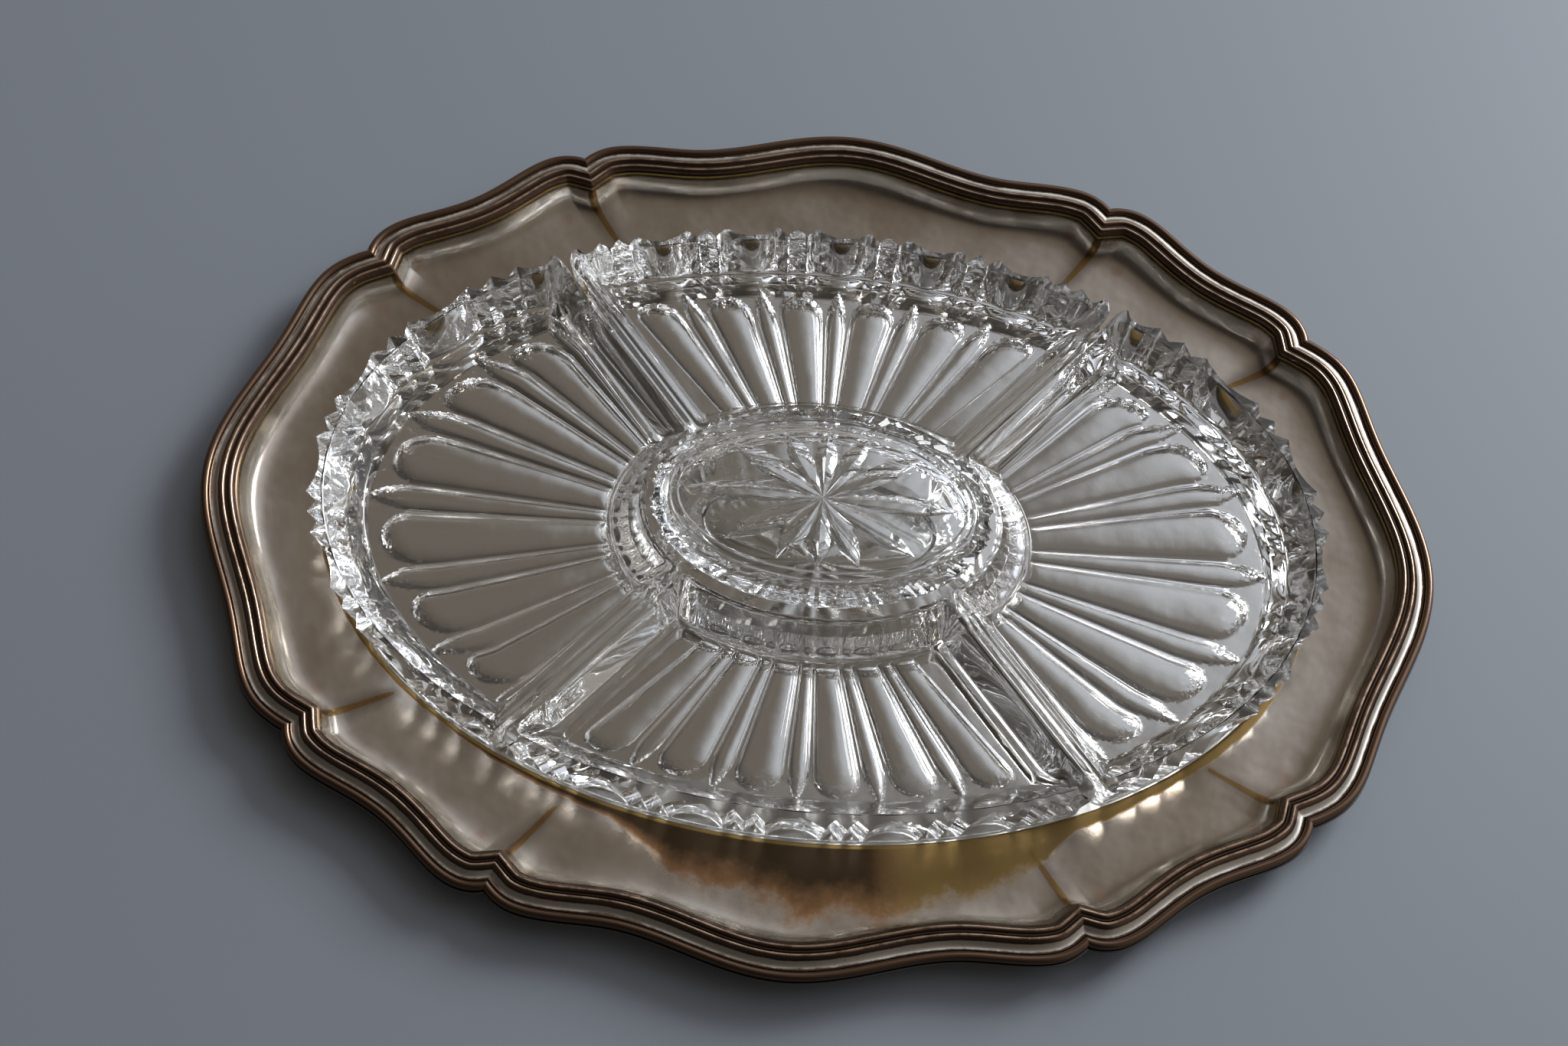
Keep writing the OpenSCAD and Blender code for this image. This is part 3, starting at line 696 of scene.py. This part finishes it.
def addLid(shape, finish):
    low, high = boxMm("lid")
    top = high[2]
    petals, columns = shape["petals"], shape["columns"]
    count, half = petals * columns, columns // 2
    local = np.tile(np.arange(columns) - half, petals)
    petal = np.repeat(np.arange(petals), columns)
    polar = 2 * np.pi * (petal + local / columns) / petals
    inT = np.unwrap(np.arctan2(np.sin(polar) / panelOval[1], np.cos(polar) / panelOval[0]))
    outT = 2 * np.pi * (np.arange(count) - half) / count
    tooth = toothAt(outT * shape["periods"] / (2 * np.pi))
    rows = []
    for oval, z, teeth, outShare in lidSection(shape, low[2], top):
        t = inT + (outT - inT) * outShare
        flat = ovalPoints(oval, t) + ovalNormals(oval, t) * (teeth * shape["cut"] * tooth)[:, None]
        rows.append(lift(flat, z + teeth * shape["cutRise"] * tooth))
    rows += starRows(shape, rows[-1][:, :2], petal, local, top)
    points = np.concatenate(rows + [[[0, 0, top + shape["dome"]]]])
    faces = gridFaces(len(rows), count)
    start, hub = (len(rows) - 1) * count, len(points) - 1
    faces += [[start + k, start + (k + 1) % count, hub] for k in range(count)]
    faces.append(list(range(count)))
    return makePiece("lidStar", points, faces, {}, finish, shape)


# Centre dish: a fluted oval bowl under the lid

centreShape = {
    "body": "centre_dish", "node": "centre_dish", "slot": "clear_glass", "sharp": 40,
    "inset": 1.4, "wall": 3.4, "floor": 3.5, "taper": 15.0, "registerPlay": 0.6,
    "flutes": 36, "fluteCut": 0.7, "plainShare": 0.21, "columns": 288, "gapUnder": 0.05,
    "footRise": 0.7, "rimRound": 0.9, "rimInside": 0.7, "floorOut": 1.0,
}
bowlOval = lidOval - centreShape["inset"]


def addCentreDish(shape, finish):
    low, high = boxMm("centre_dish")
    foot = bowlOval - shape["taper"]
    inner = bowlOval - shape["wall"]
    bottom = foot + shape["floorOut"]
    base, top = low[2] + shape["gapUnder"], high[2] - shape["gapUnder"]
    floor = low[2] + shape["floor"]
    footTop, wallTop, insideTop = base + shape["footRise"], top - shape["rimRound"], top - shape["rimInside"]
    t = np.linspace(0, 2 * np.pi, shape["columns"], endpoint=False)
    flute = hump((t * shape["flutes"] / (2 * np.pi) + 0.5) % 1.0)
    plain = shape["plainShare"]
    # each row: oval, height, share of the wall's flutes
    line = [(foot * 0.5, base + 0.5, 0), (foot - 2.2, base + 0.5, 0), (foot - 1.0, base, 0),
            (foot - 0.3, base + 0.15, 0), (foot, footTop, 0)]
    for s in np.linspace(0, 1, 12)[1:]:
        cut = min(s / (1 - plain), (1 - s) / plain)
        line.append((foot + (bowlOval - foot) * s, footTop + (wallTop - footTop) * s ** 1.15, cut))
    line += [(bowlOval - 0.3, top - 0.2, 0), (bowlOval - 0.9, top, 0), (inner + 0.6, top, 0),
             (inner + 0.15, top - 0.2, 0), (inner, insideTop, 0)]
    for s in np.linspace(0, 1, 10)[1:]:
        line.append((inner + (bottom - inner) * s ** 1.3, insideTop - (insideTop - floor) * s ** 0.9, 0))
    line.append((bottom * 0.5, floor, 0))
    rows = []
    for oval, z, cut in line:
        flat = ovalPoints(oval, t) - ovalNormals(oval, t) * (cut * shape["fluteCut"] * flute)[:, None]
        rows.append(lift(flat, z))
    count = len(t)
    faces = gridFaces(len(rows), count)
    faces += [list(range(count)), list(range((len(rows) - 1) * count, len(rows) * count))]
    return makePiece("centreDish", np.concatenate(rows), faces, {}, finish, shape)


# Wedge dishes: two along the sides and two at the ends

dishShape = {
    "slot": "clear_glass", "sharp": 35,
    "floor": 7.0, "rimWidth": 5.5, "wall": 2.0, "gap": 1.6, "sideDraft": 1.0,
    "endSlope": 11.0, "sideSlope": 7.5, "dividerSlope": 6.5, "filletRun": 2.0,
    "dividerFillet": 1.2, "fluteStart": 2.0, "fluteEnd": 1.0,
    "toothCut": 3.2, "wallFlute": 0.12, "ringCut": 0.8, "fluteDepth": 2.8, "narrowDepth": 0.8,
    "endStart": 4.5, "sideStart": 2.5,  # how far inside the narrow flutes' tips the wide ones start
    "periods": 6, "wideFlute": 0.31, "narrowFlute": 0.15, "narrowTip": 16.0,
    "fluteSquare": 1.15, "fluteInner": 0.5, "fluteRunIn": 2.5, "stippleFade": (2.0, 7.0),
    "plainEnds": 0.08,  # share of a side dish at either end without narrow flutes
    "endRoom": 2.2,  # in an end dish for one more narrow flute at either end, in flute widths
    "ringRows": ((0.1, 1.0), (0.5, 1.0), (0.88, 0.9)),  # under the edge: share of the way in, of the cut
    "divideX": 23.0, "divideSlant": 50.5,
    "coreLean": (8.0, 4.0), "coreSlope": (9.5, 6.5), "lidGap": 1.2,
    "sideFan": 31.5, "endFan": 48.6, "endWarp": 0.078,
    "edgeRound": 0.8, "footRound": 1.0, "cornerRound": 3.2, "floorCorner": 3.6,
    "cornerSteps": 8, "sideSteps": 32, "underEdge": 1.2,
    "footGap": 0.04, "underRecess": 0.18,  # keeps the glass just clear of the plate
}
# columns of half a period of the rim, closer together at the edges of the flutes
halfPeriod = (0, 0.025, 0.05, 0.075, 0.1, 0.12, 0.135, 0.145, 0.15, 0.19, 0.194, 0.2, 0.209, 0.22,
              0.2425, 0.2625, 0.285, 0.321, 0.357, 0.3925, 0.428, 0.464)
inPeriod = halfPeriod + (0.5,) + tuple(1 - s for s in halfPeriod[:0:-1])


def rimTooth(u, shape):  # along the rim of a dish, whose corners stand out like teeth
    place, near = u * shape["periods"], glassShape["tipNear"]
    fromEnd = np.minimum(place, shape["periods"] - place) / near
    endCut = hump(np.clip(fromEnd, 0, 1) ** 0.75)
    return np.where(fromEnd < 1, 1 - endCut, toothAt(place))


def meetAngle(oval, g, shape):  # where an oval meets the divider line moved sideways by g
    slant = math.radians(shape["divideSlant"])
    way = np.array([math.cos(slant), math.sin(slant)])
    start = np.array([shape["divideX"] - g * way[1], g * way[0]])
    d, p = way / oval, start / oval
    a, b, c = d @ d, 2 * d @ p, p @ p - 1
    q = p + d * (-b + math.sqrt(b * b - 4 * a * c)) / (2 * a)
    return math.atan2(q[1], q[0])


def halfAngle(oval, g, atEnd, shape):
    return meetAngle(oval, -g, shape) if atEnd else math.pi / 2 - meetAngle(oval, g, shape)


def roundCorner(centre, radius, first, last, steps, tip=0.0):  # tip: how far it stands out at its start
    a = math.atan2(first[1], first[0])
    turn = (math.atan2(last[1], last[0]) - a + math.pi) % (2 * math.pi) - math.pi
    share = np.arange(1, steps + 1) / (steps + 1)
    angles = a + turn * share
    reach = radius + tip * (1 - share) ** 2
    return centre + np.column_stack([reach * np.cos(angles), reach * np.sin(angles)])


def dishRing(row, u, atEnd, shape):
    radius = row["corner"]
    outer, inner, g = row["outer"] - radius, row["inner"] + radius, row["gap"] + radius
    mid = 0 if atEnd else math.pi / 2
    outT = mid + (2 * u - 1) * halfAngle(outer, g, atEnd, shape)
    inT = mid + (2 * u - 1) * halfAngle(inner, g, atEnd, shape)
    outN, inN = ovalNormals(outer, outT), -ovalNormals(inner, inT)
    tooth = rimTooth(u, shape) * shape["toothCut"]
    outPoints = ovalPoints(outer, outT) + outN * (radius + row["teeth"] * tooth)[:, None]
    inPoints = ovalPoints(inner, inT) + inN * radius
    outZ = np.full(len(u), row["outZ"])
    slant = math.radians(shape["divideSlant"])
    if atEnd:
        farSide, nearSide = (-math.sin(slant), math.cos(slant)), (-math.sin(slant), -math.cos(slant))
    else:
        farSide, nearSide = (-math.sin(slant), -math.cos(slant)), (math.sin(slant), -math.cos(slant))
    steps, sideSteps = shape["cornerSteps"], shape["sideSteps"]
    blend = np.linspace(outZ[-1], row["sideZ"], steps + 2)[1:-1]
    tip = row["teeth"] * shape["toothCut"]
    pieces = [lift(outPoints, outZ)]
    for end, side in ((-1, np.array(farSide)), (0, np.array(nearSide))):
        outCore, inCore = ovalPoints(outer, outT[[end]])[0], ovalPoints(inner, inT[[end]])[0]
        share = np.linspace(0, 1, sideSteps)[:, None]
        flank = outCore + (inCore - outCore) * share + side * radius
        part = np.concatenate([
            lift(roundCorner(outCore, radius, outN[end], side, steps, tip), blend),
            lift(flank, row["sideZ"]),
            lift(roundCorner(inCore, radius, side, inN[end], steps), row["sideZ"])])
        if end == -1:
            pieces += [part, lift(inPoints, row["sideZ"])[::-1]]
        else:
            pieces.append(part[::-1])
    return np.concatenate(pieces)


def dishRows(shape, top):
    valley = tipOval - shape["toothCut"]
    rim = tipOval - shape["rimWidth"]
    floorOval = rim - (shape["endSlope"], shape["sideSlope"]) - shape["filletRun"]
    core = lidOval + shape["lidGap"]
    coreBase = core + shape["coreLean"]
    coreIn = core + shape["wall"]
    coreFloor = coreIn + shape["coreSlope"] + shape["filletRun"]
    g = shape["gap"] / 2
    foot, edge, corner = shape["footRound"], shape["edgeRound"], shape["cornerRound"]
    rows = []

    def add(outer, inner, gap, outZ, sideZ, teeth=0.0, radius=corner):
        rows.append({"outer": outer, "inner": inner, "gap": gap, "outZ": outZ, "sideZ": sideZ,
                     "teeth": teeth, "corner": radius})

    for turn in np.radians((0, 30, 60, 90)):  # rounded foot
        draw, z = foot * (1 - np.sin(turn)), shape["footGap"] + foot * (1 - np.cos(turn))
        add(baseOval - draw, coreBase + draw, g + shape["sideDraft"] + draw, z, z)
    for s in (0.025, 0.05, 0.08, 0.11, 0.14, 0.18, 0.22, 0.3, 0.4, 0.55, 0.7, 0.85, 1.0):
        runOut = max(1 - s / shape["wallFlute"], 0)  # the wall's flutes end in arcs above the foot
        teeth = math.sqrt(1 - runOut * runOut)
        outer = baseOval + (tipOval - baseOval) * s - shape["toothCut"] * teeth
        inner = coreBase + (core - coreBase) * s
        outZ, sideZ = foot + (top - foot) * s, foot + (top - edge - foot) * s
        add(outer, inner, g + shape["sideDraft"] * (1 - s), outZ, sideZ, teeth)
    for q, turn in ((0.02, 30), (0.06, 60), (0.15, 90)):  # rounded tops of the side and inner walls
        back, up = edge * (1 - math.cos(math.radians(turn))), edge * math.sin(math.radians(turn))
        add(valley + (rim - valley) * q, core + back, g + back, top, top - edge + up, 1 - q)
    slopeRun = shape["dividerSlope"] + shape["dividerFillet"]
    for q in (0.5, 0.9):
        share = (q - 0.15) / 0.85
        back = edge + (shape["wall"] - 0.06 * slopeRun - edge) * share
        add(valley + (rim - valley) * q, core + back, g + back, top, top, 1 - q)
    # share of the run inward and of the height, from the rim's rounded edge down
    inside = [(-0.05, 1.0), (-0.02, 0.997), (0.005, 0.985), (0.025, 0.965)]
    inside += [(0.025 + 0.885 * s, 0.965 - 0.9 * s) for s in (0.25, 0.5, 0.75, 1.0)]
    for s in np.linspace(0, 1, 6)[1:]:  # tight fillet into the floor
        a, b, c = (1 - s) ** 2, 2 * s * (1 - s), s * s
        inside.append((0.91 * a + 0.974 * b + 1.05 * c, 0.065 * a))
    floor = shape["floor"]
    for h, v in inside:
        radius = corner + (shape["floorCorner"] - corner) * min(max(h, 0), 1)
        z = floor + (top - floor) * v
        add(rim + (floorOval - rim) * h, coreIn + (coreFloor - coreIn) * h,
            g + shape["wall"] + slopeRun * h, z, z, 0, radius)
    fluteOuter = rim - (shape["endSlope"], shape["sideSlope"]) - shape["fluteStart"]
    fluteInner = coreIn + shape["coreSlope"] + shape["fluteEnd"]
    return rows, (fluteOuter, fluteInner, coreBase)


def fluteDepth(points, u, v, atEnd, shape):  # points is rows by columns; v is 1 at the outer end
    speed = np.linalg.norm(np.gradient(points, u, axis=1), axis=2) / shape["periods"]
    length = np.linalg.norm(points[0] - points[-1], axis=1)
    fromOuter, fromInner = (1 - v)[:, None] * length, v[:, None] * length
    place = (u * shape["periods"]) % 1.0
    wide = shape["wideFlute"] * speed
    across = np.abs(place - 0.5) * speed / wide
    start = shape["endStart"] if atEnd else shape["sideStart"]
    end = np.clip(1 - (fromOuter - start) / wide[0], 0, None)
    depth = np.sqrt(np.clip(1 - (across ** 2 + end ** 2) ** shape["fluteSquare"], 0, 1))
    tip = 1 - (1 - np.clip(fromOuter / shape["narrowTip"], 0, 1)) ** 2  # narrow flutes end in a point
    narrow = np.maximum(shape["narrowFlute"] * speed * tip, 1e-3)
    nearest = np.minimum(place, 1 - place) * speed
    thin = np.sqrt(np.clip(1 - (nearest / narrow) ** 2, 0, 1)) * shape["narrowDepth"] * np.sqrt(tip)
    if not atEnd:
        thin[:, np.abs(u - 0.5) > 0.5 - shape["plainEnds"]] = 0
    along = shape["fluteInner"] + (1 - shape["fluteInner"]) * v[:, None]
    along = along * smoothStep(0, shape["fluteRunIn"], fromInner)
    share = np.maximum(depth, thin)
    nearTip, farTip = shape["stippleFade"]
    atTip = 1 - smoothStep(start + nearTip, start + farTip, fromOuter)  # only the outer ends are stippled
    pressed = hump(share) * atTip
    return shape["fluteDepth"] * along * share, pressed


def flankPoints(shape):  # points on one side of a ring, from the outer edge to the inner one
    return 2 * shape["cornerSteps"] + shape["sideSteps"]


def dishUnder(u, atEnd, ovals, shape):  # rows of the underside, and where its flutes are stippled
    fluteOuter, fluteInner, coreBase = ovals
    mid = 0 if atEnd else math.pi / 2
    fan = math.radians(shape["endFan"] if atEnd else shape["sideFan"])
    warp = shape["endWarp"] if atEnd else 0.0
    room = shape["endRoom"] * shape["narrowFlute"] / shape["periods"] if atEnd else 0.0
    place = 0.5 + (u - 0.5) * (1 + room)
    x = 2 * place - 1
    x = x + warp * np.sin(np.pi * x)
    # as many rows as a flank has points, closer together at the ends of the flutes
    fine, close = 20, 6
    coarse = flankPoints(shape) - 2 - fine - close - len(shape["ringRows"])
    v = np.concatenate([np.linspace(1, 0.82, fine), np.linspace(0.82, 0.1, coarse + 2)[1:-1],
                        np.linspace(0.1, 0, close)])
    gap = shape["gap"] / 2 + shape["wall"] + shape["dividerSlope"]
    grid = []
    for share in v:
        oval = fluteInner + share * (fluteOuter - fluteInner)
        grid.append(ovalPoints(oval, mid + x * min(fan, halfAngle(oval, gap, atEnd, shape))))
    grid = np.array(grid)
    depth, pressed = fluteDepth(grid, place, v, atEnd, shape)
    inset = shape["footRound"] + shape["underEdge"]
    edges = []
    for oval in (baseOval - inset, coreBase + inset):
        wide = halfAngle(oval, shape["gap"] / 2 + shape["sideDraft"] + inset, atEnd, shape)
        edges.append(lift(ovalPoints(oval, mid + (2 * u - 1) * wide), shape["underRecess"]))
    under = [edges[0]]
    for q, share in shape["ringRows"]:  # the wall's flutes go on under the edge
        cut = share * shape["ringCut"] * (1 - rimTooth(u, shape))
        under.append(lift(edges[0][:, :2] * (1 - q) + grid[0] * q, shape["underRecess"] + cut))
    under += [lift(line, shape["underRecess"] + d) for line, d in zip(grid, depth)] + [edges[1]]
    return under, pressed


def dishFaces(ringCount, count, n, underCount, shape):  # n points make the outer or inner edge of a ring
    faces = gridFaces(ringCount, count)
    backStart = n + flankPoints(shape)
    # floor of the inside
    last = (ringCount - 1) * count
    outer = [last + k for k in range(n)]
    inner = [last + backStart + n - 1 - k for k in range(n)]
    faces += [[outer[k], outer[k + 1], inner[k + 1], inner[k]] for k in range(n - 1)]
    faces.append([last + k for k in range(n - 1, backStart + 1)])
    faces.append([last + k % count for k in range(backStart + n - 1, count + 1)])
    # underside, joined to the first ring all round
    start = ringCount * count
    faces += gridFaces(underCount, n, start, closed=False)
    outer = list(range(n))
    inner = [backStart + n - 1 - k for k in range(n)]
    firstRow = [start + k for k in range(n)]
    lastRow = [start + (underCount - 1) * n + k for k in range(n)]
    faces += [[outer[k + 1], outer[k], firstRow[k], firstRow[k + 1]] for k in range(n - 1)]
    faces += [[inner[k], inner[k + 1], lastRow[k + 1], lastRow[k]] for k in range(n - 1)]
    for column, ring in ((n - 1, list(range(n - 1, backStart + 1))),
                         (0, [0] + list(range(count - 1, backStart + n - 2, -1)))):
        line = [ring[0]] + [start + r * n + column for r in range(underCount)] + [ring[-1]]
        for k in range(len(ring) - 1):
            face = [ring[k], ring[k + 1], line[k + 1], line[k]]
            faces.append([corner for j, corner in enumerate(face) if corner not in face[:j]])
    return faces


def addDish(name, node, atEnd, mirror, shape, finish):
    low, high = boxMm(node)
    rows, ovals = dishRows(shape, high[2] - low[2])
    periods = shape["periods"]
    u = np.append(np.concatenate([(p + np.array(inPeriod)) / periods for p in range(periods)]), 1.0)
    rings = [dishRing(row, u, atEnd, shape) for row in rows]
    under, pressed = dishUnder(u, atEnd, ovals, shape)
    faces = dishFaces(len(rings), len(rings[0]), len(u), len(under), shape)
    points = np.concatenate(rings + under)
    points[:, 2] += low[2]
    points = points * mirror
    stipple = np.zeros(len(points))
    first = len(rings) * len(rings[0]) + (1 + len(shape["ringRows"])) * len(u)
    stipple[first:first + pressed.size] = pressed.ravel()
    part = dict(shape, body=node, node=node)
    return makePiece(name, points, faces, {"stipple": stipple}, finish, part)


plate = silverPlate(plateLook)
borderFinish = wornBorder(borderLook, borderShape["width"])
glass = clearGlass(glassLook)
addTrayPan(panShape, plate)
addBorder(borderShape, borderFinish)
addDish("backDish", "back_dish", False, (1, 1, 1), dishShape, glass)
addDish("frontDish", "front_dish", False, (1, -1, 1), dishShape, glass)
addDish("rightDish", "right_dish", True, (1, 1, 1), dishShape, glass)
addDish("leftDish", "left_dish", True, (-1, 1, 1), dishShape, glass)
addCentreDish(centreShape, glass)
addLid(lidShape, glass)

# Stage: pale table, window light and a dim room

stageLook = {
    "table": colour(0.265, 0.293, 0.333), "tableRough": 0.55, "tableSize": 8.0,
    "room": colour(0.235, 0.21, 0.185), "walls": colour(0.44, 0.41, 0.375), "glow": colour(0.85, 0.9, 1.0),
    "azimuth": 48.0, "elevation": 30.0, "distance": 1.9,  # of the window, seen from the tray
    "windowSize": (0.8, 0.7), "windowPower": 27.0, "windowTone": (0.96, 0.98, 1.0),
    "glowFade": (0.68, 0.89), "wallFade": (0.1, 0.7), "litFade": (0.0, 0.95), "shadeFade": (-0.45, 0.2),
    "farSide": 0.5, "nearSide": 0.2,
}


def windowWay(look):
    az, el = math.radians(look["azimuth"]), math.radians(look["elevation"])
    return Vector((math.sin(az) * math.cos(el), math.cos(az) * math.cos(el), math.sin(el)))


def addTable(look):
    finish, tree, shader = newFinish("paleTable")
    place = put(tree, "ShaderNodeTexCoord").outputs["Object"]
    cloud = grain(tree, place, 3.0, 3.0)
    paler = tuple(c * 1.05 for c in look["table"][:3]) + (1.0,)
    tree.links.new(blendColour(tree, cloud, look["table"], paler), shader.inputs["Base Color"])
    shader.inputs["Roughness"].default_value = look["tableRough"]
    half = look["tableSize"] / 2
    mesh = bpy.data.meshes.new("table")
    corners = [(-half, -half, 0), (half, -half, 0), (half, half, 0), (-half, half, 0)]
    mesh.from_pydata(corners, [], [(0, 1, 2, 3)])
    mesh.materials.append(finish)
    table = bpy.data.objects.new("table", mesh)
    bpy.context.scene.collection.objects.link(table)


def addWindow(look):
    data = bpy.data.lights.new("window", "AREA")
    data.shape = "RECTANGLE"
    data.size, data.size_y = look["windowSize"]
    data.energy = look["windowPower"]
    data.color = look["windowTone"]
    light = bpy.data.objects.new("window", data)
    light.location = windowWay(look) * look["distance"]
    light.rotation_mode = "QUATERNION"
    light.rotation_quaternion = windowWay(look).to_track_quat("Z", "Y")
    bpy.context.scene.collection.objects.link(light)


def dotWith(tree, way, direction):
    wanted = {0: way, 1: direction}
    return put(tree, "ShaderNodeVectorMath", wanted, operation="DOT_PRODUCT").outputs["Value"]


def addRoom(look):
    world = bpy.data.worlds.new("room")
    world.use_nodes = True
    tree = world.node_tree
    sky = tree.nodes["Background"]
    way = put(tree, "ShaderNodeTexCoord").outputs["Generated"]
    height = put(tree, "ShaderNodeSeparateXYZ", {"Vector": way}).outputs["Z"]
    level = Vector(windowWay(look)[:2]).normalized().to_3d()
    facing = dotWith(tree, way, level)
    lit = fade(tree, facing, *look["litFade"], look["farSide"], 1.0)
    share = sums(tree, "MULTIPLY", fade(tree, height, *look["wallFade"], 1.0, 0.0), lit)
    body = blendColour(tree, share, look["room"], look["walls"])
    side = dotWith(tree, way, windowWay(look))
    body = blendColour(tree, fade(tree, side, *look["glowFade"]), body, look["glow"])
    shade = fade(tree, facing, *look["shadeFade"], look["nearSide"], 1.0)  # darker behind the camera
    tree.links.new(body, sky.inputs["Color"])
    tree.links.new(shade, sky.inputs["Strength"])
    bpy.context.scene.world = world


addTable(stageLook)
addWindow(stageLook)
addRoom(stageLook)
bpy.context.scene.view_settings.view_transform = "Standard"
cycles = bpy.context.scene.cycles
cycles.max_bounces = cycles.transmission_bounces = cycles.glossy_bounces = 24  # many inside the glass
print("stage set")
